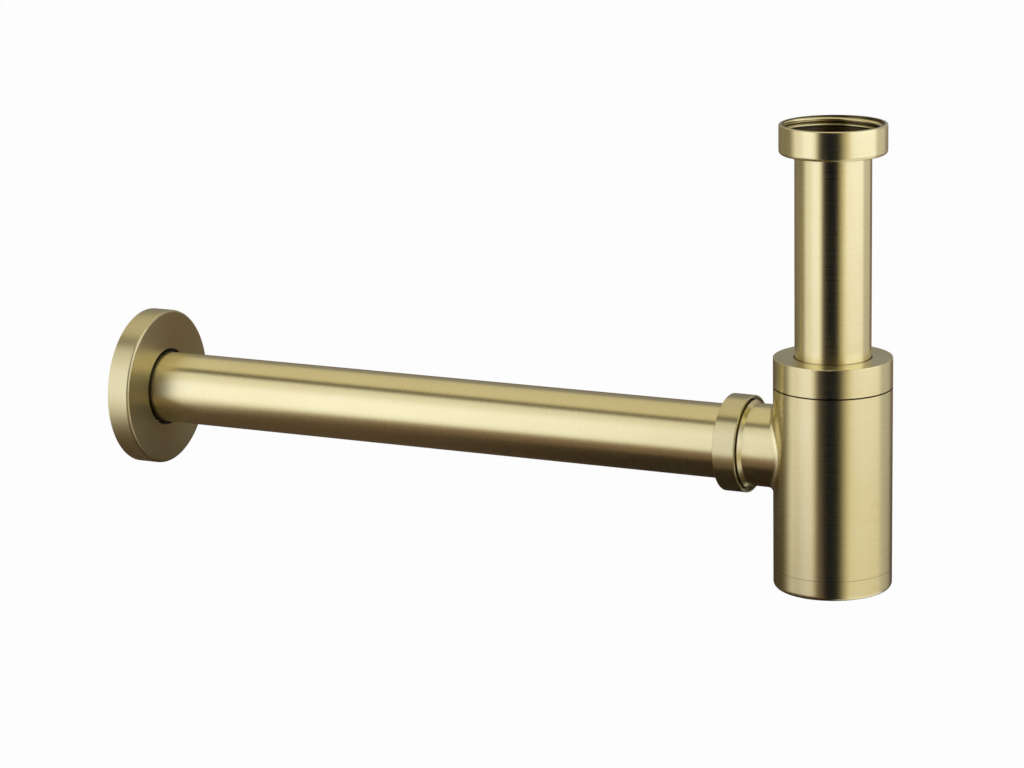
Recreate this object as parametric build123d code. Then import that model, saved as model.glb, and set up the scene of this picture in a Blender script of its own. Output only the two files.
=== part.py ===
from build123d import *
import os

# Bottle trap for a wash basin, in millimetres.
# The origin is the centre of the inlet nut's mouth, +Z is up and the outlet runs along -X.

# Tubes
TUBE_D = 32.0
TUBE_WALL = 1.0
TUBE_DIP = 38.0            # end of the dip tube below the outlet axis
COLLAR_T = 1.6             # flat collar at the top of the dip tube
COLLAR_GAP = 1.65          # collar to the inlet thread's wall
TUBE_PAST_WALL = 10.0      # outlet tube behind the wall face

# Main distances
OUTLET_DROP = 139.2        # inlet mouth to outlet axis
WALL_REACH = 335.0         # bottle axis to wall face

# Inlet nut and its washer
INLET_THREAD_D = 41.9      # 1 1/4 inch pipe thread, major diameter
INLET_THREAD_L = 6.6
INLET_RELIEF = 0.25        # undercut below the thread
INLET_NUT_WALL = 1.3       # outside the undercut
INLET_NUT_H = 12.4
NUT_LIP_T = 2.2
NUT_LIP_ROUND = 1.5
NUT_MOUTH_ROUND = 0.6
WASHER_T = 1.7
WASHER_RIM = 0.2           # washer stands out past the collar
WASHER_BORE_D = 28.0

# Bottle and its caps
BOTTLE_D = 50.0
BOTTLE_WALL = 2.0
BOTTLE_DROP = 58.3         # bottle's underside below the outlet axis
CAP_RISE = 41.0            # top cap's upper face above the outlet axis
CAP_H = 12.7
CAP_WALL = 2.2
CAP_WEB_T = 2.1
CAP_ROUND = 0.35
CAP_SEAM = 0.4
NECK_CLEAR = 0.9           # neck's rim to the cap's web
SEAL_DEPTH = 5.0           # recess for the seal in the bottle's neck
LEDGE_T = 2.5
SHOULDER_T = 2.5
BOTTOM_CAP_H = 8.7
BOTTOM_ROUND = 2.2
BOTTOM_SEAM = 0.12
BOTTOM_FLOOR_T = 2.5
PLUG_L = 9.0
PLUG_WALL = 1.95           # under the plug's thread
PLUG_LAND = 0.5            # plain rim above the O-ring's groove
RING_CORD_D = 1.5          # section of the bottom cap's O-ring
RING_GROOVE_RISE = 0.8     # groove above the cap's shoulder

# Outlet spigot and nut, distances are from the bottle's surface or the spigot's mouth
SPIGOT_WALL = 1.3
SPIGOT_NECK_L = 9.4
SPIGOT_BEVEL_L = 1.4
SPIGOT_COLLAR_L = 1.2      # plain collar between bevel and thread
SPIGOT_THREAD_L = 5.1
SPIGOT_THREAD_RISE = 1.3   # collar and thread crest above the neck
SPIGOT_STOP_W = 1.3        # inner shoulder that stops the tube
SPIGOT_STOP_REACH = 2.0
SPIGOT_CONE_L = 2.8
SPIGOT_CONE_RISE = 1.2
SPIGOT_FILLET = 2.5
OUTLET_NUT_WALL = 1.7
OUTLET_NUT_COVER = 5.8     # nut's skirt over the thread
OUTLET_NUT_LIP_T = 2.2
OUTLET_NUT_ROUND = 0.5
NUT_MOUTH_STEP = 0.9       # counterbore at the nut's mouth
NUT_MOUTH_DEPTH = 1.5

# Compression rings
SLIP_RING_T = 1.2
OUTLET_SLIP_RING_T = 0.9
OUTLET_SEAL_RIM_T = 1.1
SEAL_W = 2.6               # width of the dip tube's seal
SEAL_CHAMFER = 1.2

# Wall flange and its O-ring
FLANGE_D = 70.4
FLANGE_T = 10.6
FLANGE_WALL = 2.5
FLANGE_ROUND = 1.2
FLANGE_BORE_GAP = 1.6      # open ring round the tube
FLANGE_HUB_WALL = 2.0
FLANGE_HUB_L = 8.5
FLANGE_GROOVE_SETBACK = 1.8
FLANGE_CORD_D = 3.3        # section of the flange's O-ring

# Screw threads of the bottle, its outside walls are drawn at the thread's root
THREAD_DEPTH = 0.65

# Clearances
SLIDE_GAP = 0.15           # round a tube that slides
HOLE_GAP = 0.3             # round a tube in a nut, cap or spigot
THREAD_GAP = 0.2           # between thread crest and mating wall
SEAT_GAP = 0.1             # between pieces that part when unscrewed
GROOVE_GAP = 0.1           # round an O-ring in its groove

# Worked out
tube_r = TUBE_D / 2
bore_r = tube_r - TUBE_WALL
hole_r = tube_r + HOLE_GAP
seal_r = tube_r + SLIDE_GAP
bottle_r = BOTTLE_D / 2
outlet_z = -OUTLET_DROP

inlet_thread_r = INLET_THREAD_D / 2
collar_r = inlet_thread_r - COLLAR_GAP
lip_top_z = NUT_LIP_T - INLET_NUT_H
collar_z = lip_top_z + SEAT_GAP
washer_z = collar_z + COLLAR_T

cap_top_z = outlet_z + CAP_RISE
cap_seam_z = cap_top_z - CAP_H
cap_web_z = cap_top_z - CAP_WEB_T
cap_bore_r = bottle_r - CAP_WALL
neck_root_r = cap_bore_r - THREAD_GAP - THREAD_DEPTH
neck_top_z = cap_web_z - NECK_CLEAR
recess_r = seal_r + SEAL_W + SEAT_GAP
ledge_z = neck_top_z - SEAL_DEPTH
chamber_r = bottle_r - BOTTLE_WALL

bottle_low_z = outlet_z - BOTTLE_DROP
bottom_seam_z = bottle_low_z + BOTTOM_CAP_H
body_low_z = bottom_seam_z + BOTTOM_SEAM
plug_r = chamber_r - THREAD_GAP
plug_root_r = plug_r - THREAD_DEPTH
plug_top_z = bottom_seam_z + PLUG_L

socket_r = hole_r
spigot_neck_r = socket_r + SPIGOT_WALL
spigot_thread_r = spigot_neck_r + SPIGOT_THREAD_RISE
spigot_root_r = spigot_thread_r - THREAD_DEPTH
bevel_d = bottle_r + SPIGOT_NECK_L
collar_d = bevel_d + SPIGOT_BEVEL_L
thread_d = collar_d + SPIGOT_COLLAR_L
mouth_d = thread_d + SPIGOT_THREAD_L
stop_d = bottle_r + SPIGOT_STOP_REACH
nut_bore_r = spigot_thread_r + THREAD_GAP
outlet_nut_r = nut_bore_r + OUTLET_NUT_WALL
outlet_nut_d = mouth_d - OUTLET_NUT_COVER
outlet_ring_d = mouth_d + OUTLET_SEAL_RIM_T
outlet_lip_d = outlet_ring_d + SEAT_GAP + OUTLET_SLIP_RING_T

flange_face_d = WALL_REACH - FLANGE_T
flange_bore_r = tube_r + FLANGE_BORE_GAP


def turned(outline, rounded=()):
    """Revolve a closed outline of (radius, height) points about Z.

    rounded lists (corner, radius) pairs for the corners that are rounded.
    """
    face = make_face(Polyline(*outline, close=True))
    for corner, radius in rounded:
        face = fillet(face.vertices().sort_by_distance(corner)[0], radius)
    return revolve(Plane.XZ * face, Axis.Z)


def along_outlet(piece):
    """Lay a piece turned about Z on the outlet axis, so that its height runs out along -X."""
    return Pos(0, 0, outlet_z) * Rot(0, -90, 0) * piece


def o_ring(inner_r, cord_d, height):
    return Pos(0, 0, height) * Torus(inner_r + cord_d / 2, cord_d / 2)


def inlet_nut():
    relief_r = inlet_thread_r + INLET_RELIEF
    nut_r = relief_r + INLET_NUT_WALL
    outline = [
        (inlet_thread_r, 0),
        (nut_r, 0),
        (nut_r, -INLET_NUT_H),
        (hole_r, -INLET_NUT_H),
        (hole_r, lip_top_z),
        (relief_r, lip_top_z),
        (relief_r, -INLET_THREAD_L),
        (inlet_thread_r, -INLET_THREAD_L),
    ]
    rounded = [((nut_r, 0), NUT_MOUTH_ROUND), ((nut_r, -INLET_NUT_H), NUT_LIP_ROUND)]
    return turned(outline, rounded)


def inlet_washer():
    outer_r = collar_r + WASHER_RIM
    inner_r = WASHER_BORE_D / 2
    top_z = washer_z + WASHER_T
    return turned([(inner_r, washer_z), (outer_r, washer_z), (outer_r, top_z), (inner_r, top_z)])


def inlet_tube():
    low_z = outlet_z - TUBE_DIP
    outline = [
        (bore_r, low_z),
        (tube_r, low_z),
        (tube_r, collar_z),
        (collar_r, collar_z),
        (collar_r, washer_z),
        (bore_r, washer_z),
    ]
    return turned(outline)


def top_cap():
    low_z = cap_seam_z + CAP_SEAM
    outline = [
        (hole_r, cap_top_z),
        (bottle_r, cap_top_z),
        (bottle_r, low_z),
        (cap_bore_r, low_z),
        (cap_bore_r, cap_web_z),
        (hole_r, cap_web_z),
    ]
    return turned(outline, [((bottle_r, cap_top_z), CAP_ROUND)])


def tube_slip_ring():
    low_z = cap_web_z - SLIP_RING_T
    outer_r = recess_r - HOLE_GAP
    return turned([(hole_r, low_z), (outer_r, low_z), (outer_r, cap_web_z), (hole_r, cap_web_z)])


def tube_seal():
    top_z = cap_web_z - SLIP_RING_T - SEAT_GAP
    outer_r = seal_r + SEAL_W
    outline = [
        (seal_r, ledge_z),
        (outer_r - SEAL_CHAMFER, ledge_z),
        (outer_r, ledge_z + SEAL_CHAMFER),
        (outer_r, top_z),
        (seal_r, top_z),
    ]
    return turned(outline)


def bottle_outside():
    """Cup and spigot as one full solid, with a fillet where they meet."""
    cup = turned([
        (0, body_low_z),
        (bottle_r, body_low_z),
        (bottle_r, cap_seam_z),
        (neck_root_r, cap_seam_z),
        (neck_root_r, neck_top_z),
        (0, neck_top_z),
    ])
    spigot = along_outlet(turned([
        (0, 0),
        (spigot_neck_r, 0),
        (spigot_neck_r, bevel_d),
        (spigot_thread_r, collar_d),
        (spigot_thread_r, thread_d),
        (spigot_root_r, thread_d),
        (spigot_root_r, mouth_d),
        (0, mouth_d),
    ]))
    joined = cup + spigot
    return fillet(joined.edges().filter_by(GeomType.BSPLINE), SPIGOT_FILLET)


def bottle_inside():
    """Chamber, guide hole and seal recess, open at both ends."""
    ledge_low_z = ledge_z - LEDGE_T
    ceiling_z = cap_seam_z - SHOULDER_T
    return turned([
        (0, body_low_z),
        (chamber_r, body_low_z),
        (chamber_r, ceiling_z),
        (hole_r, ledge_low_z),
        (hole_r, ledge_z),
        (recess_r, ledge_z),
        (recess_r, neck_top_z),
        (0, neck_top_z),
    ])


def spigot_inside():
    """Socket for the outlet tube, with a stop at its inner end and a cone at its mouth."""
    stop_r = socket_r - SPIGOT_STOP_W
    return along_outlet(turned([
        (0, 0),
        (stop_r, 0),
        (stop_r, stop_d),
        (socket_r, stop_d),
        (socket_r, mouth_d - SPIGOT_CONE_L),
        (socket_r + SPIGOT_CONE_RISE, mouth_d),
        (0, mouth_d),
    ]))


def bottle_body():
    return bottle_outside() - bottle_inside() - spigot_inside()


def bottom_cap():
    cup_r = plug_root_r - PLUG_WALL
    groove_r = chamber_r - RING_CORD_D - GROOVE_GAP
    groove_low_z = bottom_seam_z + RING_GROOVE_RISE
    groove_high_z = groove_low_z + RING_CORD_D + 2 * GROOVE_GAP
    thread_z = groove_high_z + PLUG_LAND
    floor_z = bottle_low_z + BOTTOM_FLOOR_T
    outline = [
        (0, bottle_low_z),
        (bottle_r, bottle_low_z),
        (bottle_r, bottom_seam_z),
        (plug_r, bottom_seam_z),
        (plug_r, groove_low_z),
        (groove_r, groove_low_z),
        (groove_r, groove_high_z),
        (plug_r, groove_high_z),
        (plug_r, thread_z),
        (plug_root_r, thread_z),
        (plug_root_r, plug_top_z),
        (cup_r, plug_top_z),
        (cup_r, floor_z),
        (0, floor_z),
    ]
    return turned(outline, [((bottle_r, bottle_low_z), BOTTOM_ROUND)])


def bottom_cap_o_ring():
    inner_r = chamber_r - RING_CORD_D - GROOVE_GAP / 2
    middle_z = bottom_seam_z + RING_GROOVE_RISE + GROOVE_GAP + RING_CORD_D / 2
    return o_ring(inner_r, RING_CORD_D, middle_z)


def outlet_nut():
    end_d = outlet_lip_d + OUTLET_NUT_LIP_T
    step_r = nut_bore_r + NUT_MOUTH_STEP
    outline = [
        (step_r, outlet_nut_d),
        (outlet_nut_r, outlet_nut_d),
        (outlet_nut_r, end_d),
        (hole_r, end_d),
        (hole_r, outlet_lip_d),
        (nut_bore_r, outlet_lip_d),
        (nut_bore_r, outlet_nut_d + NUT_MOUTH_DEPTH),
        (step_r, outlet_nut_d + NUT_MOUTH_DEPTH),
    ]
    rounded = [((outlet_nut_r, outlet_nut_d), OUTLET_NUT_ROUND), ((outlet_nut_r, end_d), OUTLET_NUT_ROUND)]
    return along_outlet(turned(outline, rounded))


def outlet_slip_ring():
    start_d = outlet_lip_d - OUTLET_SLIP_RING_T
    outer_r = spigot_thread_r
    outline = [(hole_r, start_d), (outer_r, start_d), (outer_r, outlet_lip_d), (hole_r, outlet_lip_d)]
    return along_outlet(turned(outline))


def outlet_seal():
    """Rubber wedge: a rim against the spigot's mouth and a cone inside it."""
    rim_r = spigot_root_r
    slope = SPIGOT_CONE_RISE / SPIGOT_CONE_L
    root_r = socket_r + SPIGOT_CONE_RISE - SEAT_GAP
    tip_d = mouth_d - (root_r - seal_r) / slope / 2
    tip_r = root_r - (mouth_d - tip_d) * slope
    outline = [
        (seal_r, tip_d),
        (tip_r, tip_d),
        (root_r, mouth_d),
        (rim_r, mouth_d),
        (rim_r, outlet_ring_d),
        (seal_r, outlet_ring_d),
    ]
    return along_outlet(turned(outline))


def outlet_tube():
    start_d = stop_d + SEAT_GAP
    end_d = WALL_REACH + TUBE_PAST_WALL
    return along_outlet(turned([(bore_r, start_d), (tube_r, start_d), (tube_r, end_d), (bore_r, end_d)]))


def wall_flange():
    """Hollow cover: a face, a rim that meets the wall and a grooved hub round the tube."""
    flange_r = FLANGE_D / 2
    groove_r = seal_r + FLANGE_CORD_D + GROOVE_GAP
    hub_r = groove_r + FLANGE_HUB_WALL
    groove_d = flange_face_d + FLANGE_GROOVE_SETBACK
    groove_end_d = groove_d + FLANGE_CORD_D + 2 * GROOVE_GAP
    hub_end_d = flange_face_d + FLANGE_HUB_L
    back_d = flange_face_d + FLANGE_WALL
    outline = [
        (flange_bore_r, flange_face_d),
        (flange_r, flange_face_d),
        (flange_r, WALL_REACH),
        (flange_r - FLANGE_WALL, WALL_REACH),
        (flange_r - FLANGE_WALL, back_d),
        (hub_r, back_d),
        (hub_r, hub_end_d),
        (flange_bore_r, hub_end_d),
        (flange_bore_r, groove_end_d),
        (groove_r, groove_end_d),
        (groove_r, groove_d),
        (flange_bore_r, groove_d),
    ]
    return along_outlet(turned(outline, [((flange_r, flange_face_d), FLANGE_ROUND)]))


def flange_o_ring():
    middle_d = flange_face_d + FLANGE_GROOVE_SETBACK + GROOVE_GAP + FLANGE_CORD_D / 2
    return along_outlet(o_ring(seal_r, FLANGE_CORD_D, middle_d))


PIECES = [
    inlet_nut,
    inlet_washer,
    inlet_tube,
    top_cap,
    tube_slip_ring,
    tube_seal,
    bottle_body,
    bottom_cap,
    bottom_cap_o_ring,
    outlet_nut,
    outlet_slip_ring,
    outlet_seal,
    outlet_tube,
    wall_flange,
    flange_o_ring,
]

os.makedirs("parts", exist_ok=True)
for make in PIECES:
    export_step(make(), f"parts/{make.__name__}.step")
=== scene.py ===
import math

import bmesh
import bpy
from mathutils import Matrix, Vector


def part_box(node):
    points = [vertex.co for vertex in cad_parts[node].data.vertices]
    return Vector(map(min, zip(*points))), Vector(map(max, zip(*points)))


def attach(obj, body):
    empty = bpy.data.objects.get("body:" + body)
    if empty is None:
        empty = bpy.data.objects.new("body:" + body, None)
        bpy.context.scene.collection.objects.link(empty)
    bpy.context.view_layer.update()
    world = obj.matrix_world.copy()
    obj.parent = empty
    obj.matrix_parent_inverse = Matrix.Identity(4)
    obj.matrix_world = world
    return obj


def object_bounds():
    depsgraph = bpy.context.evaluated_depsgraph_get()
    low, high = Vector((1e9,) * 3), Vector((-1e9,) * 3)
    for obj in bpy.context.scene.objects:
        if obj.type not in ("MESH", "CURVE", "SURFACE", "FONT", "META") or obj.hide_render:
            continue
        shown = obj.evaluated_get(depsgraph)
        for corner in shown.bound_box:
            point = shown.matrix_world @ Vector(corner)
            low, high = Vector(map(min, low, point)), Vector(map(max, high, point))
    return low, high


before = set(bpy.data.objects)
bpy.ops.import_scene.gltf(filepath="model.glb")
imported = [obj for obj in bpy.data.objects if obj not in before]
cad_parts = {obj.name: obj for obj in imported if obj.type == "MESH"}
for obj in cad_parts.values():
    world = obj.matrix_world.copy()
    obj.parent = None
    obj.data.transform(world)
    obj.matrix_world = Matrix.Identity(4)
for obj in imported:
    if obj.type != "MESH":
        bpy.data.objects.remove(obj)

cad_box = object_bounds()

MM = 0.001
X_AXIS = Vector((1, 0, 0))
Y_AXIS = Vector((0, 1, 0))
Z_AXIS = Vector((0, 0, 1))

# Places taken from the frame
tube_low, tube_high = (Vector(corner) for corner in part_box("outlet_tube"))
cap_low, cap_high = (Vector(corner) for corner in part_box("top_cap"))
INLET_AXIS = Vector((0, 0, 0))
OUTLET_AXIS = Vector((0, 0, (tube_low.z + tube_high.z) / 2))
TUBE_R = tube_high.z - OUTLET_AXIS.z
BOTTLE_R = cap_high.x
BASE_Z = cad_box[0][2]

# Painted shade: dark lines along the seam under the top cap and round the tube's hole in it
CAP_SEAM = 0.4 * MM
SEAM_MARGIN = 0.12 * MM    # the line reaches this far past the seam
SEAM_FADE = 0.05 * MM
SEAM_Z = cap_low.z - CAP_SEAM / 2
SEAM_HALF = CAP_SEAM / 2 + SEAM_MARGIN
CAP_HOLE_R = TUBE_R + 0.3 * MM

# Pairs of radii between which one finish turns into another: bare brass into the painted shade of the
# seam and of the cap's hole edge, and the bottle's brush lines into the spigot's
SKIN = (BOTTLE_R - 0.4 * MM, BOTTLE_R - 0.2 * MM)
HOLE_EDGE = (CAP_HOLE_R + 0.12 * MM, CAP_HOLE_R + 0.27 * MM)
SPIGOT_START = (BOTTLE_R + 0.2 * MM, BOTTLE_R + 2.2 * MM)

# Camera, at the photo's view of a 1024 x 768 frame
IMAGE_WIDTH_PX = 1024
FOCAL_PX = 3432
SENSOR_MM = 36.0
CAMERA_TARGET = Vector((-0.1489, 0, OUTLET_AXIS.z + 0.0163))
CAMERA_DISTANCE = 1.499
CAMERA_AZIMUTH = 25.92
CAMERA_ELEVATION = 13.67
CAMERA_ROLL = -1.21
CAMERA_REACH = 200         # how far the camera sees

# Finish of the brass, colours are linear
BRASS_PALE = (0.82, 0.733, 0.430, 1)
BRASS_DEEP = (0.77, 0.672, 0.370, 1)
# painted shade, laid into the colour in crevices, along the cap's seam and round the tube's hole
BRASS_PAINTED_SHADE = (0.10, 0.07, 0.035, 1)
BRASS_DULL = (0.22, 0.17, 0.09, 1)
BRASS_ROUGHNESS = 0.28
BRASS_ROUGHNESS_SPREAD = 0.05
BRASS_ANISOTROPY = 0.70
NUT_SHADE = 0.85           # the outlet nut and the flange are a little darker than the tubes
FLANGE_SHADE = 0.82
FLANGE_ROUGHNESS = 0.35
FLANGE_ANISOTROPY = 0.35
# Painted shade in crevices: how far and with how many rays the view round a point is tested, and how open
# it must be to stay bare brass
CREVICE_REACH = 2.5 * MM
CREVICE_OPENNESS = (0.15, 0.60)    # how open a point is, where dark turns into bare brass
CREVICE_SAMPLES = 8
CLOUD_WAVES = 35.0         # soft clouds of colour, in waves per metre
CLOUD_PART = 0.4           # of the patina, the rest follows the brush lines
LINE_PART = 1 - CLOUD_PART
PATINA_RANGE = (0.3, 0.7)
NOISE_MIDDLE = 0.5

# Brush lines of the brass
FINE_LINES = 5200          # across, in waves per metre
COARSE_LINES = 1300
COARSE_SHARE = 0.28
LINE_RUN = 45              # how fast a line changes along its run, in waves per metre
BRUSH_DEPTH = 0.0025 * MM
BRUSH_STRENGTH = 0.36
END_FACE = (0.55, 0.85)    # part of the normal along the axis, where the sides turn into end faces

# Rubber and nylon
RUBBER_BLACK = (0.010, 0.010, 0.010, 1)
RUBBER_BLOOM = (0.028, 0.027, 0.026, 1)
RUBBER_GRAIN = 2500.0      # in waves per metre
RUBBER_CLOUDS = 160.0
RUBBER_ROUGHNESS = 0.42
RUBBER_ROUGHNESS_SPREAD = 0.25
RUBBER_BUMP_DEPTH = 0.03 * MM
RUBBER_BUMP_STRENGTH = 0.3
NYLON_DEEP = (0.72, 0.71, 0.66, 1)
NYLON_PALE = (0.80, 0.79, 0.75, 1)
NYLON_GRAIN = 900.0
NYLON_ROUGHNESS = 0.35
NYLON_ROUGHNESS_SPREAD = 0.15

# Threads: the inlet's has 11 turns to the inch, the bottle's own are finer
INLET_PITCH = 25.4 / 11 * MM
SCREW_PITCH = 1.5 * MM
INLET_RISE = 1.3 * MM
MALE_RISE = 0.65 * MM
FEMALE_RISE = 0.60 * MM
INLET_FOOT = 0.36          # half a ridge's width at its foot, in pitches
SCREW_FOOT = 0.30
CREST = 0.11               # half a ridge's width at its crest, in pitches
CREST_FLAT = 0.6           # part of the crest that has the full rise
SHOULDER_PLACE = 0.1       # part of the way from the crest to the foot
SHOULDER_RISE = 0.92
HALF_TURN = 0.5
RUN_OUT = 0.3              # turns in which a ridge runs out
RIDGE_STEPS = 72           # steps in one turn
RIDGE_SUNK = 0.03 * MM     # foot of a ridge below the wall's surface
SHARP_EDGE = math.radians(50)

# Radii of the threads' walls, and where along the axis the ridges start and end
INLET_THREAD_R = 41.9 / 2 * MM
INLET_THREAD_SPAN = (-5.9 * MM, -1.0 * MM)
THREAD_EDGE = (INLET_THREAD_R + 0.3 * MM, INLET_THREAD_R + 0.5 * MM)    # dull brass turns into brushed
NECK_R = BOTTLE_R - 3.05 * MM
NECK_SPAN = (cap_low.z + 0.3 * MM, cap_high.z - 3.7 * MM)
CAP_WALL_R = BOTTLE_R - 2.2 * MM
CAP_WALL_SPAN = (cap_low.z + 0.7 * MM, cap_high.z - 3.4 * MM)
PLUG_R = BOTTLE_R - 2.85 * MM
PLUG_SPAN = (BASE_Z + 12.3 * MM, BASE_Z + 17.1 * MM)
BOTTLE_FOOT_R = BOTTLE_R - 2.0 * MM
BOTTLE_FOOT_SPAN = (BASE_Z + 12.6 * MM, BASE_Z + 17.3 * MM)
SPIGOT_R = TUBE_R + 2.25 * MM
SPIGOT_SPAN = (BOTTLE_R + 12.6 * MM, BOTTLE_R + 16.5 * MM)
OUTLET_NUT_R = TUBE_R + 3.1 * MM
OUTLET_NUT_SPAN = (BOTTLE_R + 13.3 * MM, BOTTLE_R + 17.4 * MM)

# Colours of the stage
FLOOR_COLOUR = (0.9, 0.9, 0.9, 1)
FLOOR_WHITE = 0.94         # part of the floor that shows as plain white, the rest takes the shadow
WARM_LOSS = (0.12, 0.43)   # green and blue that a warm tone lacks
BROWN_PARTS = (0.70, 0.50)    # green and blue of a brown, as parts of its red
GAP_BLACK = (0.0, 0.002, 0.010, 1)
PANEL_GLOW = (1.36, 1.42, 1.68)

# Places on the stage, in metres
FLOOR_DROP = 1.25          # floor below the bottle
FLOOR_HALF = 30.0
GAP_TURN = 12.3            # degrees from the camera to the dark gap on its left
GAP_DISTANCE = 1.1
GAP_ASIDE = 0.2
GAP_RISE = 0.9
GAP_FLOOR_DISTANCE = 0.62
GAP_FLOOR_DROP = 0.8
TABLE_PLACE = Vector((-0.27, -0.065, OUTLET_AXIS.z - 0.25))
TABLE_SHADE_PLACE = Vector((-0.165, 0.07, OUTLET_AXIS.z - 0.245))
BACK_WALL_X = 0.2
BACK_WALL_Y = 1.6
BACK_WALL_WIDTH = 4.8
LEFT_WALL_PLACE = Vector((-2.2, 0.30, 0.0))
LEFT_SHADE_PLACE = Vector((-0.7, 0.29, -0.55))
FLANGE_SHADE_PLACE = Vector((-0.22, 0.35, -0.39))
CEILING_PLACE = Vector((-0.3, 0.318, 1.2))
CEILING_SLANT = Vector((0.423, 0.906, 0))      # direction from its front edge to its back edge
KEY_LEAN = Vector((-0.425, -0.885, 0.188))     # direction from the bottle to the key panel
KEY_DISTANCE = 2.0
SIDE_PANEL_PLACE = Vector((1.0, -0.02, 0.1375))

# Light
SKY_LEVEL = 0.75           # on matt surfaces
SKY_WHITE = 1.0            # to the camera and in reflections
SOFTBOX_WIDTH = 1.2
SOFTBOX_HEIGHT = 0.9
SOFTBOX_POWER = 8.0
SOFTBOX_PLACE = Vector((-0.9, -1.1, 0.9))


def feed(tree, socket, value):
    """Link a socket to another one, or set its value."""
    if isinstance(value, bpy.types.NodeSocket):
        tree.links.new(value, socket)
    else:
        socket.default_value = value


def calc(tree, operation, *values):
    node = tree.nodes.new("ShaderNodeMath")
    node.operation = operation
    for socket, value in zip(node.inputs, values):
        feed(tree, socket, value)
    return node.outputs["Value"]


def vector(tree, operation, *values):
    """Vector maths; a scalar factor of SCALE comes second."""
    node = tree.nodes.new("ShaderNodeVectorMath")
    node.operation = operation
    sockets = [node.inputs[0], node.inputs["Scale"]] if operation == "SCALE" else node.inputs
    for socket, value in zip(sockets, values):
        feed(tree, socket, value)
    return node.outputs["Value" if operation in ("DOT_PRODUCT", "LENGTH") else "Vector"]


def ramp(tree, value, low, high):
    """Smooth step of a value from 0 at low to 1 at high."""
    node = tree.nodes.new("ShaderNodeMapRange")
    node.interpolation_type = "SMOOTHSTEP"
    feed(tree, node.inputs["Value"], value)
    node.inputs["From Min"].default_value = low
    node.inputs["From Max"].default_value = high
    return node.outputs["Result"]


def blend(tree, kind, word, factor, low, high):
    """Mix of low and high by a factor; word is how the sockets of that kind are called."""
    node = tree.nodes.new("ShaderNodeMix")
    node.data_type = kind
    for name, value in (("Factor_Float", factor), (f"A_{word}", low), (f"B_{word}", high)):
        feed(tree, next(s for s in node.inputs if s.identifier == name), value)
    return next(s for s in node.outputs if s.identifier == f"Result_{word}")


def blend_values(tree, factor, low, high):
    return blend(tree, "FLOAT", "Float", factor, low, high)


def blend_vectors(tree, factor, low, high):
    return blend(tree, "VECTOR", "Vector", factor, low, high)


def blend_colours(tree, factor, low, high):
    return blend(tree, "RGBA", "Color", factor, low, high)


def noise(tree, coords, scale, detail=2.0, roughness=0.5):
    node = tree.nodes.new("ShaderNodeTexNoise")
    feed(tree, node.inputs["Vector"], coords)
    node.inputs["Scale"].default_value = scale
    node.inputs["Detail"].default_value = detail
    node.inputs["Roughness"].default_value = roughness
    return node.outputs["Fac"]


def vary(tree, value, spread, middle):
    """A value times its spread, added to the middle."""
    return calc(tree, "ADD", calc(tree, "MULTIPLY", value, spread), middle)


def object_place(tree):
    return tree.nodes.new("ShaderNodeTexCoord").outputs["Object"]


def axis_distance(tree):
    """Distance from the upright axis."""
    flat = vector(tree, "MULTIPLY", object_place(tree), (1, 1, 0))
    return vector(tree, "LENGTH", flat)


def add_bump(tree, shader, height, strength, depth):
    bump = tree.nodes.new("ShaderNodeBump")
    bump.inputs["Strength"].default_value = strength
    bump.inputs["Distance"].default_value = depth
    feed(tree, bump.inputs["Height"], height)
    feed(tree, shader.inputs["Normal"], bump.outputs["Normal"])


def new_material(name):
    material = bpy.data.materials.new(name)
    material.use_nodes = True
    tree = material.node_tree
    shader = tree.nodes["Principled BSDF"]
    return material, tree, shader


def turned_lines(tree, axis, centre):
    """Brush lines of a piece turned about an axis: their height and the direction across them.

    Round the sides the lines run round the axis, on the flat ends they are rings.
    """
    texture = tree.nodes.new("ShaderNodeTexCoord")
    place = vector(tree, "SUBTRACT", texture.outputs["Object"], centre)
    along = vector(tree, "DOT_PRODUCT", place, axis)
    radial = vector(tree, "SUBTRACT", place, vector(tree, "SCALE", tuple(axis), along))
    radius = vector(tree, "LENGTH", radial)
    tilt = calc(tree, "ABSOLUTE", vector(tree, "DOT_PRODUCT", texture.outputs["Normal"], axis))
    face = ramp(tree, tilt, *END_FACE)
    across = blend_values(tree, face, along, radius)
    heights = []
    for lines in (FINE_LINES, COARSE_LINES):
        fast = vector(tree, "SCALE", tuple(axis), calc(tree, "MULTIPLY", across, lines))
        slow = vector(tree, "SCALE", radial, LINE_RUN)
        heights.append(noise(tree, vector(tree, "ADD", fast, slow), 1.0))
    height = blend_values(tree, COARSE_SHARE, *heights)
    direction = blend_vectors(tree, face, tuple(axis), vector(tree, "NORMALIZE", radial))
    return height, direction


def brass_colour(tree, height, shade):
    """Patina along the brush lines and in soft clouds, with painted shade that darkens the crevices."""
    cloud = noise(tree, object_place(tree), CLOUD_WAVES, detail=3.0)
    lines = calc(tree, "MULTIPLY", height, LINE_PART)
    patina = calc(tree, "ADD", lines, calc(tree, "MULTIPLY", cloud, CLOUD_PART))
    deep, pale = ((*(shade * part for part in brass[:3]), 1) for brass in (BRASS_DEEP, BRASS_PALE))
    colour = blend_colours(tree, ramp(tree, patina, *PATINA_RANGE), deep, pale)
    # painted shade: ambient occlusion darkens the colour in crevices and gaps
    occlusion = tree.nodes.new("ShaderNodeAmbientOcclusion")
    occlusion.samples = CREVICE_SAMPLES
    occlusion.inputs["Distance"].default_value = CREVICE_REACH
    openness = ramp(tree, occlusion.outputs["AO"], *CREVICE_OPENNESS)
    return blend_colours(tree, openness, BRASS_PAINTED_SHADE, colour)


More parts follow.
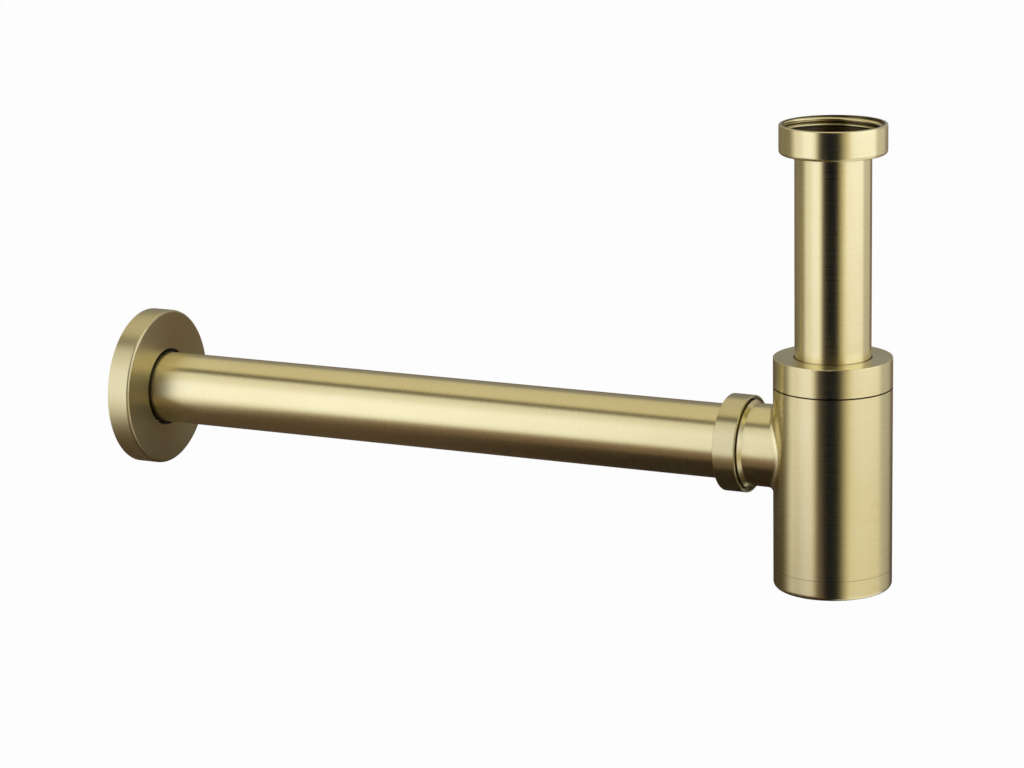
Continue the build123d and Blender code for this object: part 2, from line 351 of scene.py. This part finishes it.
def spread_across(tree, shader, direction, anisotropy):
    """Spread reflections along a direction that is given on the object."""
    world = tree.nodes.new("ShaderNodeVectorTransform")
    world.vector_type = "VECTOR"
    world.convert_from = "OBJECT"
    world.convert_to = "WORLD"
    feed(tree, world.inputs["Vector"], direction)
    feed(tree, shader.inputs["Tangent"], world.outputs["Vector"])
    shader.inputs["Anisotropic"].default_value = anisotropy


def finish_brass(tree, shader, height, direction, shade=1.0, roughness=BRASS_ROUGHNESS,
                 anisotropy=BRASS_ANISOTROPY):
    """Metal with brush lines that spread reflections across them."""
    shader.inputs["Metallic"].default_value = 1.0
    feed(tree, shader.inputs["Base Color"], brass_colour(tree, height, shade))
    uneven = calc(tree, "SUBTRACT", height, NOISE_MIDDLE)
    feed(tree, shader.inputs["Roughness"], vary(tree, uneven, BRASS_ROUGHNESS_SPREAD, roughness))
    spread_across(tree, shader, direction, anisotropy)
    add_bump(tree, shader, height, BRUSH_STRENGTH, BRUSH_DEPTH)


def brushed_brass(name, axis, centre, **look):
    material, tree, shader = new_material(name)
    height, direction = turned_lines(tree, axis, centre)
    finish_brass(tree, shader, height, direction, **look)
    return material


def cover_colour(material, bare, colour):
    """Lay a colour over a material's own where bare is 0, and leave it where bare is 1."""
    tree = material.node_tree
    socket = tree.nodes["Principled BSDF"].inputs["Base Color"]
    own = socket.links[0].from_socket
    feed(tree, socket, blend_colours(tree, bare, colour, own))


def darken_seam(material):
    """Painted shade: a dark line on the outer skin along the seam between the top cap and the bottle, and
    dark faces inside the seam's gap.
    """
    tree = material.node_tree
    rise = vector(tree, "DOT_PRODUCT", object_place(tree), tuple(Z_AXIS))
    distance = calc(tree, "ABSOLUTE", calc(tree, "SUBTRACT", rise, SEAM_Z))
    beside = ramp(tree, distance, SEAM_HALF - SEAM_FADE, SEAM_HALF + SEAM_FADE)
    inside = calc(tree, "SUBTRACT", 1.0, ramp(tree, axis_distance(tree), *SKIN))
    cover_colour(material, calc(tree, "MAXIMUM", beside, inside), BRASS_PAINTED_SHADE)


def nut_brass(name):
    """Brushed brass outside and dull dark brass in the threaded hole."""
    material = brushed_brass(name, Z_AXIS, INLET_AXIS)
    tree = material.node_tree
    cover_colour(material, ramp(tree, axis_distance(tree), *THREAD_EDGE), BRASS_DULL)
    return material


def cap_brass(name):
    """Brushed brass with painted shade: a dark line along the seam and a dark edge round the tube's hole.
    """
    material = brushed_brass(name, Z_AXIS, INLET_AXIS)
    tree = material.node_tree
    # painted shade along the seam under the cap
    darken_seam(material)
    # painted shade round the tube's hole in the cap
    cover_colour(material, ramp(tree, axis_distance(tree), *HOLE_EDGE), BRASS_PAINTED_SHADE)
    return material


def bottle_brass(name):
    """The bottle is turned about Z and its spigot about X."""
    material, tree, shader = new_material(name)
    cup_height, cup_direction = turned_lines(tree, Z_AXIS, INLET_AXIS)
    spigot_height, spigot_direction = turned_lines(tree, X_AXIS, OUTLET_AXIS)
    spigot = ramp(tree, axis_distance(tree), *SPIGOT_START)
    height = blend_values(tree, spigot, cup_height, spigot_height)
    direction = blend_vectors(tree, spigot, cup_direction, spigot_direction)
    finish_brass(tree, shader, height, direction)
    # painted shade along the seam under the top cap
    darken_seam(material)
    return material


def black_rubber():
    material, tree, shader = new_material("black_rubber")
    grain = noise(tree, object_place(tree), RUBBER_GRAIN, detail=4.0)
    bloom = noise(tree, object_place(tree), RUBBER_CLOUDS, detail=3.0)
    feed(tree, shader.inputs["Base Color"], blend_colours(tree, bloom, RUBBER_BLACK, RUBBER_BLOOM))
    feed(tree, shader.inputs["Roughness"], vary(tree, grain, RUBBER_ROUGHNESS_SPREAD, RUBBER_ROUGHNESS))
    add_bump(tree, shader, grain, RUBBER_BUMP_STRENGTH, RUBBER_BUMP_DEPTH)
    return material


def white_nylon():
    material, tree, shader = new_material("white_nylon")
    grain = noise(tree, object_place(tree), NYLON_GRAIN, detail=3.0)
    feed(tree, shader.inputs["Base Color"], blend_colours(tree, grain, NYLON_DEEP, NYLON_PALE))
    feed(tree, shader.inputs["Roughness"], vary(tree, grain, NYLON_ROUGHNESS_SPREAD, NYLON_ROUGHNESS))
    return material


def finish(node, material):
    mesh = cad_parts[node].data
    mesh.materials.clear()
    mesh.materials.append(material)


def finish_nodes():
    """Give every node its material, and return those of plain upright and level brass."""
    upright = brushed_brass("brass_upright", Z_AXIS, INLET_AXIS)
    level = brushed_brass("brass_level", X_AXIS, OUTLET_AXIS)
    finish("inlet_nut", nut_brass("brass_nut"))
    for node in ("inlet_tube", "bottom_cap"):
        finish(node, upright)
    finish("top_cap", cap_brass("brass_cap"))
    finish("outlet_tube", level)
    finish("outlet_nut", brushed_brass("brass_outlet_nut", X_AXIS, OUTLET_AXIS, shade=NUT_SHADE))
    finish("wall_flange", brushed_brass("brass_flange", X_AXIS, OUTLET_AXIS, shade=FLANGE_SHADE,
                                        roughness=FLANGE_ROUGHNESS, anisotropy=FLANGE_ANISOTROPY))
    finish("bottle_body", bottle_brass("brass_bottle"))
    rubber = black_rubber()
    for node in ("inlet_washer", "tube_seal", "bottom_cap_o_ring", "outlet_seal", "flange_o_ring"):
        finish(node, rubber)
    nylon = white_nylon()
    for node in ("tube_slip_ring", "outlet_slip_ring"):
        finish(node, nylon)
    return upright, level


def on_upright(radius, angle, height):
    return Vector((radius * math.cos(angle), radius * math.sin(angle), height))


def on_outlet(radius, angle, height):
    """Height runs out along -X."""
    return Vector((-height, radius * math.sin(angle), OUTLET_AXIS.z + radius * math.cos(angle)))


def ridge_outline(foot, crest):
    """Section of a thread as (offset along the axis, part of the full rise) pairs.

    It is drawn from the foot to the crest, and mirrored for the other half.
    """
    shoulder = crest + SHOULDER_PLACE * (foot - crest)
    half = [(foot, 0.0), (shoulder, SHOULDER_RISE), (CREST_FLAT * crest, 1.0)]
    return half + [(-offset, part) for offset, part in reversed(half)]


def ridge_rows(bm, place, outline, wall_r, rise, pitch, span, phase):
    """Rows of points along a helix, one outline each, that sink into the wall at both ends."""
    low, high = span
    steps = int((high - low) / pitch * RIDGE_STEPS)
    run_out_steps = RUN_OUT * RIDGE_STEPS
    sunk = math.copysign(RIDGE_SUNK, rise)
    rows = []
    for step in range(steps + 1):
        height = low + pitch * step / RIDGE_STEPS
        angle = 2 * math.pi * (height / pitch - phase)
        share = min(1.0, step / run_out_steps, (steps - step) / run_out_steps)
        radii = [wall_r - sunk + (rise * part + sunk) * share for offset, part in outline]
        rows.append([bm.verts.new(place(radius, angle, height + offset))
                     for radius, (offset, part) in zip(radii, outline)])
    return rows


def skin_rows(bm, rows):
    """Faces between the rows, and a cap at each end."""
    count = len(rows[0])
    for first, second in zip(rows, rows[1:]):
        for index in range(count):
            following = (index + 1) % count
            bm.faces.new((first[index], first[following], second[following], second[index]))
    bm.faces.new(rows[0])
    bm.faces.new(list(reversed(rows[-1])))
    bmesh.ops.recalc_face_normals(bm, faces=bm.faces)


def thread_ridge(name, body, material, place, wall_r, rise, span, pitch=SCREW_PITCH, foot=SCREW_FOOT,
                 phase=0.0):
    """Right-hand helical ridge on a round wall, running out at both ends of its span.

    The rise is outward, or inward where it is negative, and foot is half the ridge's width in pitches.
    Two ridges of one pitch mesh when their phases differ by half a turn.
    """
    bm = bmesh.new()
    outline = ridge_outline(foot * pitch, CREST * pitch)
    skin_rows(bm, ridge_rows(bm, place, outline, wall_r, rise, pitch, span, phase))
    mesh = bpy.data.meshes.new(name)
    bm.to_mesh(mesh)
    bm.free()
    mesh.shade_smooth()
    mesh.set_sharp_from_angle(angle=SHARP_EDGE)
    mesh.materials.append(material)
    ridge = bpy.data.objects.new(name, mesh)
    bpy.context.scene.collection.objects.link(ridge)
    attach(ridge, body)


def cut_threads(upright, level):
    """Ridges on the plain walls at the threads' roots."""
    thread_ridge("inlet_thread_ridge", "inlet_nut", upright, on_upright, INLET_THREAD_R, -INLET_RISE,
                 INLET_THREAD_SPAN, pitch=INLET_PITCH, foot=INLET_FOOT)
    thread_ridge("neck_ridge", "bottle", upright, on_upright, NECK_R, MALE_RISE, NECK_SPAN)
    thread_ridge("top_cap_ridge", "top_cap", upright, on_upright, CAP_WALL_R, -FEMALE_RISE, CAP_WALL_SPAN,
                 phase=HALF_TURN)
    thread_ridge("plug_ridge", "bottom_cap", upright, on_upright, PLUG_R, MALE_RISE, PLUG_SPAN)
    thread_ridge("bottle_foot_ridge", "bottle", upright, on_upright, BOTTLE_FOOT_R, -FEMALE_RISE,
                 BOTTLE_FOOT_SPAN, phase=HALF_TURN)
    thread_ridge("spigot_ridge", "bottle", level, on_outlet, SPIGOT_R, MALE_RISE, SPIGOT_SPAN)
    thread_ridge("outlet_nut_ridge", "outlet_nut", level, on_outlet, OUTLET_NUT_R, -FEMALE_RISE,
                 OUTLET_NUT_SPAN, phase=HALF_TURN)


def reflective_rays(tree):
    """1 for the rays that see the studio: camera, glossy and transmission rays."""
    path = tree.nodes.new("ShaderNodeLightPath")
    seen = calc(tree, "MAXIMUM", path.outputs["Is Camera Ray"], path.outputs["Is Glossy Ray"])
    return calc(tree, "MAXIMUM", seen, path.outputs["Is Transmission Ray"])


def plane(name, centre, across, up, width, height):
    """Rectangle with its middle at centre, its width along across and its height along up."""
    mesh = bpy.data.meshes.new(name)
    side = across.normalized() * width / 2
    rise = up.normalized() * height / 2
    corners = [centre - side - rise, centre + side - rise, centre + side + rise, centre - side + rise]
    mesh.from_pydata(corners, [], [(0, 1, 2, 3)])
    layer = mesh.uv_layers.new(name="UVMap")
    for loop, place in zip(layer.data, ((0, 0), (1, 0), (1, 1), (0, 1))):
        loop.uv = place
    sheet = bpy.data.objects.new(name, mesh)
    bpy.context.scene.collection.objects.link(sheet)
    return sheet


def stage_material(name):
    """Empty material that isn't sampled as a lamp, with its node tree and its output."""
    material = bpy.data.materials.new(name)
    material.use_nodes = True
    material.cycles.emission_sampling = "NONE"
    tree = material.node_tree
    tree.nodes.clear()
    return material, tree, tree.nodes.new("ShaderNodeOutputMaterial")


def mix_shaders(tree, output, factor, first, second):
    mix = tree.nodes.new("ShaderNodeMixShader")
    feed(tree, mix.inputs["Fac"], factor)
    tree.links.new(first.outputs["BSDF"], mix.inputs[1])
    tree.links.new(second.outputs["Emission"], mix.inputs[2])
    tree.links.new(mix.outputs["Shader"], output.inputs["Surface"])


def floor_material():
    """Pale floor: near white to the camera and in reflections, but still with a soft shadow."""
    material, tree, output = stage_material("studio_floor")
    diffuse = tree.nodes.new("ShaderNodeBsdfDiffuse")
    diffuse.inputs["Color"].default_value = FLOOR_COLOUR
    white = tree.nodes.new("ShaderNodeEmission")
    mix_shaders(tree, output, calc(tree, "MULTIPLY", reflective_rays(tree), FLOOR_WHITE), diffuse, white)
    return material


def tone(level, warm=0.0, cover=1.0):
    """Colour of a card: how bright, how warm, and how much it covers what is behind it."""
    green, blue = (level * (1 - loss * warm) for loss in WARM_LOSS)
    return (level, green, blue, cover)


def brown(level, cover=1.0):
    """Colour of a dark card that shows in the brass as brown shade."""
    green, blue = (level * part for part in BROWN_PARTS)
    return (level, green, blue, cover)


def glow(cover=1.0):
    """Colour of the bright panels."""
    return (*PANEL_GLOW, cover)


def card_material(name, tones):
    """Glow that changes along the card, tones lists (place, colour) pairs from 0 to 1."""
    material, tree, output = stage_material(name)
    texture = tree.nodes.new("ShaderNodeTexCoord")
    split = tree.nodes.new("ShaderNodeSeparateXYZ")
    feed(tree, split.inputs["Vector"], texture.outputs["UV"])
    colours = tree.nodes.new("ShaderNodeValToRGB")
    feed(tree, colours.inputs["Fac"], split.outputs["X"])
    stops = colours.color_ramp.elements
    stops[0].position, stops[0].color = tones[0]
    stops[-1].position, stops[-1].color = tones[-1]
    for place, colour in tones[1:-1]:
        stops.new(place).color = colour
    light = tree.nodes.new("ShaderNodeEmission")
    feed(tree, light.inputs["Color"], colours.outputs["Color"])
    clear = tree.nodes.new("ShaderNodeBsdfTransparent")
    mix_shaders(tree, output, colours.outputs["Alpha"], clear, light)
    return material


def card(name, centre, across, up, width, height, tones):
    """Studio card that only reflections see, its tones change along across."""
    sheet = plane(name, centre, across, up, width, height)
    sheet.data.materials.append(card_material(name, tones))
    sheet.visible_camera = False
    sheet.visible_diffuse = False
    sheet.visible_shadow = False


def heading(azimuth):
    """Level direction from the object towards a viewer at that azimuth."""
    turn = math.radians(azimuth)
    return Vector((math.sin(turn), -math.cos(turn), 0))


def build_floor():
    middle = Vector((0, 0, BASE_Z - FLOOR_DROP))
    floor = plane("floor", middle, X_AXIS, Y_AXIS, 2 * FLOOR_HALF, 2 * FLOOR_HALF)
    floor.data.materials.append(floor_material())


def camera_gap():
    """Dark gap beside the camera, it makes the stripe on the upright cylinders."""
    flag = heading(CAMERA_AZIMUTH - GAP_TURN)
    aside = Z_AXIS.cross(flag)
    soft_sides = [(0.0, tone(1.36, 0, 0)), (0.065, tone(1.36, 0, 0.5)), (0.137, tone(1.0, 0.2)),
                  (0.19, tone(0.28, 0.7)), (0.22, tone(0.08, 1)), (0.245, GAP_BLACK), (0.568, GAP_BLACK),
                  (0.606, tone(0.10, 1)), (0.646, tone(0.28, 1)), (0.736, tone(0.64, 0.9)),
                  (0.814, tone(0.83, 0.7)), (0.875, tone(0.94, 0.5, 0.9)), (1.0, tone(1.0, 0.3, 0))]
    upright = OUTLET_AXIS + flag * GAP_DISTANCE + aside * GAP_ASIDE + Z_AXIS * GAP_RISE
    card("camera_flag", upright, aside, Z_AXIS, width=2.3, height=4.4, tones=soft_sides)
    dark = [(0.0, brown(0.30, 0)), (0.08, brown(0.10)), (0.16, brown(0)), (0.84, brown(0)),
            (0.92, brown(0.10)), (1.0, brown(0.30, 0))]
    level = OUTLET_AXIS + flag * GAP_FLOOR_DISTANCE - Z_AXIS * GAP_FLOOR_DROP
    card("gap_floor", level, aside, flag, width=0.75, height=0.95, tones=dark)


def outlet_table():
    """Dark table under the outlet tube, it fades out towards the front and is darkest by the bottle."""
    wood = [(0.0, brown(0.45, 0)), (0.129, brown(0.32, 0.45)), (0.226, brown(0.28, 0.9)),
            (0.29, brown(0.24)), (0.37, brown(0.17)), (0.45, brown(0.13)), (0.52, brown(0.11)),
            (1.0, brown(0.06))]
    card("table_flag", TABLE_PLACE, Y_AXIS, X_AXIS, width=1.55, height=0.58, tones=wood)
    shade = [(0.0, brown(0.02, 0)), (0.40, brown(0.02, 0.85)), (1.0, brown(0.015))]
    card("table_shade", TABLE_SHADE_PLACE, X_AXIS, Y_AXIS, width=0.37, height=0.56, tones=shade)


def back_wall(name, middle_z, height, tones):
    """Part of the grey wall behind the object, its tones run from left to right."""
    middle = Vector((BACK_WALL_X, BACK_WALL_Y, middle_z))
    card(name, middle, X_AXIS, Z_AXIS, BACK_WALL_WIDTH, height, tones)


def grey_walls():
    """Grey walls behind and to the left, with a dark patch low on the left."""
    low = [(0.0, tone(0.32, 0.5)), (0.45, tone(0.22, 0.5)), (0.57, tone(0.24, 0.4)),
           (0.70, tone(0.43, 0.2)), (1.0, tone(0.50, 0.2))]
    back_wall("back_wall_low", middle_z=-1.0, height=0.96, tones=low)
    middle = [(0.0, tone(0.36, 0.4)), (0.45, tone(0.34, 0.4)), (0.56, tone(0.40, 0.2)),
              (0.66, tone(0.72, 0.1)), (1.0, tone(0.82, 0.1))]
    back_wall("back_wall_middle", middle_z=-0.31, height=0.42, tones=middle)
    high = [(0.0, tone(0.40, 0.4)), (0.15, tone(0.29, 0.2)), (0.30, tone(0.24, 0)),
            (0.42, tone(0.40, 0.1)), (1.0, tone(0.60, 0.2))]
    back_wall("back_wall_high", middle_z=0.60, height=1.4, tones=high)
    left = [(0.0, tone(0.3, 1, 0)), (0.25, tone(0.24, 0.8)), (1.0, tone(0.26, 0.5))]
    card("left_wall", LEFT_WALL_PLACE, Y_AXIS, Z_AXIS, width=2.6, height=2.8, tones=left)
    shadow = [(0.0, brown(0.03, 0)), (0.15, brown(0.03)), (1.0, brown(0.03))]
    card("left_shade", LEFT_SHADE_PLACE, Y_AXIS, Z_AXIS, width=0.82, height=0.5, tones=shadow)


def flange_sheet():
    """Dark sheet behind the tube, the flange's face reflects it."""
    upward = [(0.0, brown(0.06, 0)), (0.10, brown(0.06)), (0.62, brown(0.05)), (0.70, brown(0.08)),
              (0.78, brown(0.18)), (0.90, brown(0.18)), (1.0, brown(0.18, 0))]
    card("flange_shade", FLANGE_SHADE_PLACE, Z_AXIS, X_AXIS, width=0.72, height=0.66, tones=upward)


def cream_ceiling():
    """Cream ceiling with a dark front edge."""
    backward = [(0.0, tone(0.10, 1.5, 0)), (0.06, tone(0.07, 1.5, 0.8)), (0.10, tone(0.05, 1)),
                (0.165, tone(0.05, 1)), (0.20, tone(0.62, 0.8)), (0.25, tone(0.74, 0.6)),
                (1.0, tone(0.62, 0.6))]
    aside = CEILING_SLANT.cross(Z_AXIS)
    card("ceiling", CEILING_PLACE, CEILING_SLANT, aside, width=2.4, height=4.0, tones=backward)


def bright_panels():
    """Bright panels to the left of the camera and on the right."""
    key = [(0.02, glow(0)), (0.28, glow()), (0.686, glow()), (1.0, glow(0))]
    middle = OUTLET_AXIS + KEY_LEAN * KEY_DISTANCE
    card("key_panel", middle, KEY_LEAN.cross(X_AXIS), X_AXIS, width=2.8, height=2.3, tones=key)
    side = [(0.0, tone(0.50, 1)), (0.16, tone(0.62, 1)), (0.24, tone(1.0, 0.2)), (0.32, glow()),
            (1.0, glow())]
    card("side_panel", SIDE_PANEL_PLACE, Z_AXIS, Y_AXIS, width=1.775, height=1.28, tones=side)


def build_stage():
    build_floor()
    camera_gap()
    outlet_table()
    grey_walls()
    flange_sheet()
    cream_ceiling()
    bright_panels()


def build_light():
    world = bpy.data.worlds.new("studio")
    bpy.context.scene.world = world
    world.use_nodes = True
    world.cycles.sampling_method = "NONE"
    tree = world.node_tree
    background = tree.nodes["Background"]
    level = blend_values(tree, reflective_rays(tree), SKY_LEVEL, SKY_WHITE)
    feed(tree, background.inputs["Strength"], level)
    background.inputs["Color"].default_value = (1, 1, 1, 1)
    lamp = bpy.data.lights.new("softbox", "AREA")
    lamp.shape = "RECTANGLE"
    lamp.size = SOFTBOX_WIDTH
    lamp.size_y = SOFTBOX_HEIGHT
    lamp.energy = SOFTBOX_POWER
    softbox = bpy.data.objects.new("softbox", lamp)
    bpy.context.scene.collection.objects.link(softbox)
    softbox.location = SOFTBOX_PLACE
    softbox.rotation_euler = (CAMERA_TARGET - SOFTBOX_PLACE).to_track_quat("-Z", "Y").to_euler()
    softbox.visible_glossy = False


def build_camera():
    azimuth = math.radians(CAMERA_AZIMUTH)
    elevation = math.radians(CAMERA_ELEVATION)
    roll = math.radians(CAMERA_ROLL)
    back = Vector((math.sin(azimuth) * math.cos(elevation), -math.cos(azimuth) * math.cos(elevation),
                   math.sin(elevation)))
    level = Z_AXIS.cross(back).normalized()
    rise = back.cross(level)
    right = math.cos(roll) * level + math.sin(roll) * rise
    up = math.cos(roll) * rise - math.sin(roll) * level
    data = bpy.data.cameras.new("photo_view")
    data.sensor_width = SENSOR_MM
    data.lens = SENSOR_MM * FOCAL_PX / IMAGE_WIDTH_PX
    data.clip_end = CAMERA_REACH
    camera = bpy.data.objects.new("photo_view", data)
    bpy.context.scene.collection.objects.link(camera)
    turn = Matrix((right, up, back)).transposed().to_4x4()
    camera.matrix_world = Matrix.Translation(CAMERA_TARGET + back * CAMERA_DISTANCE) @ turn
    bpy.context.scene.camera = camera


cut_threads(*finish_nodes())
build_stage()
build_light()
build_camera()
bpy.context.scene.view_settings.view_transform = "Standard"
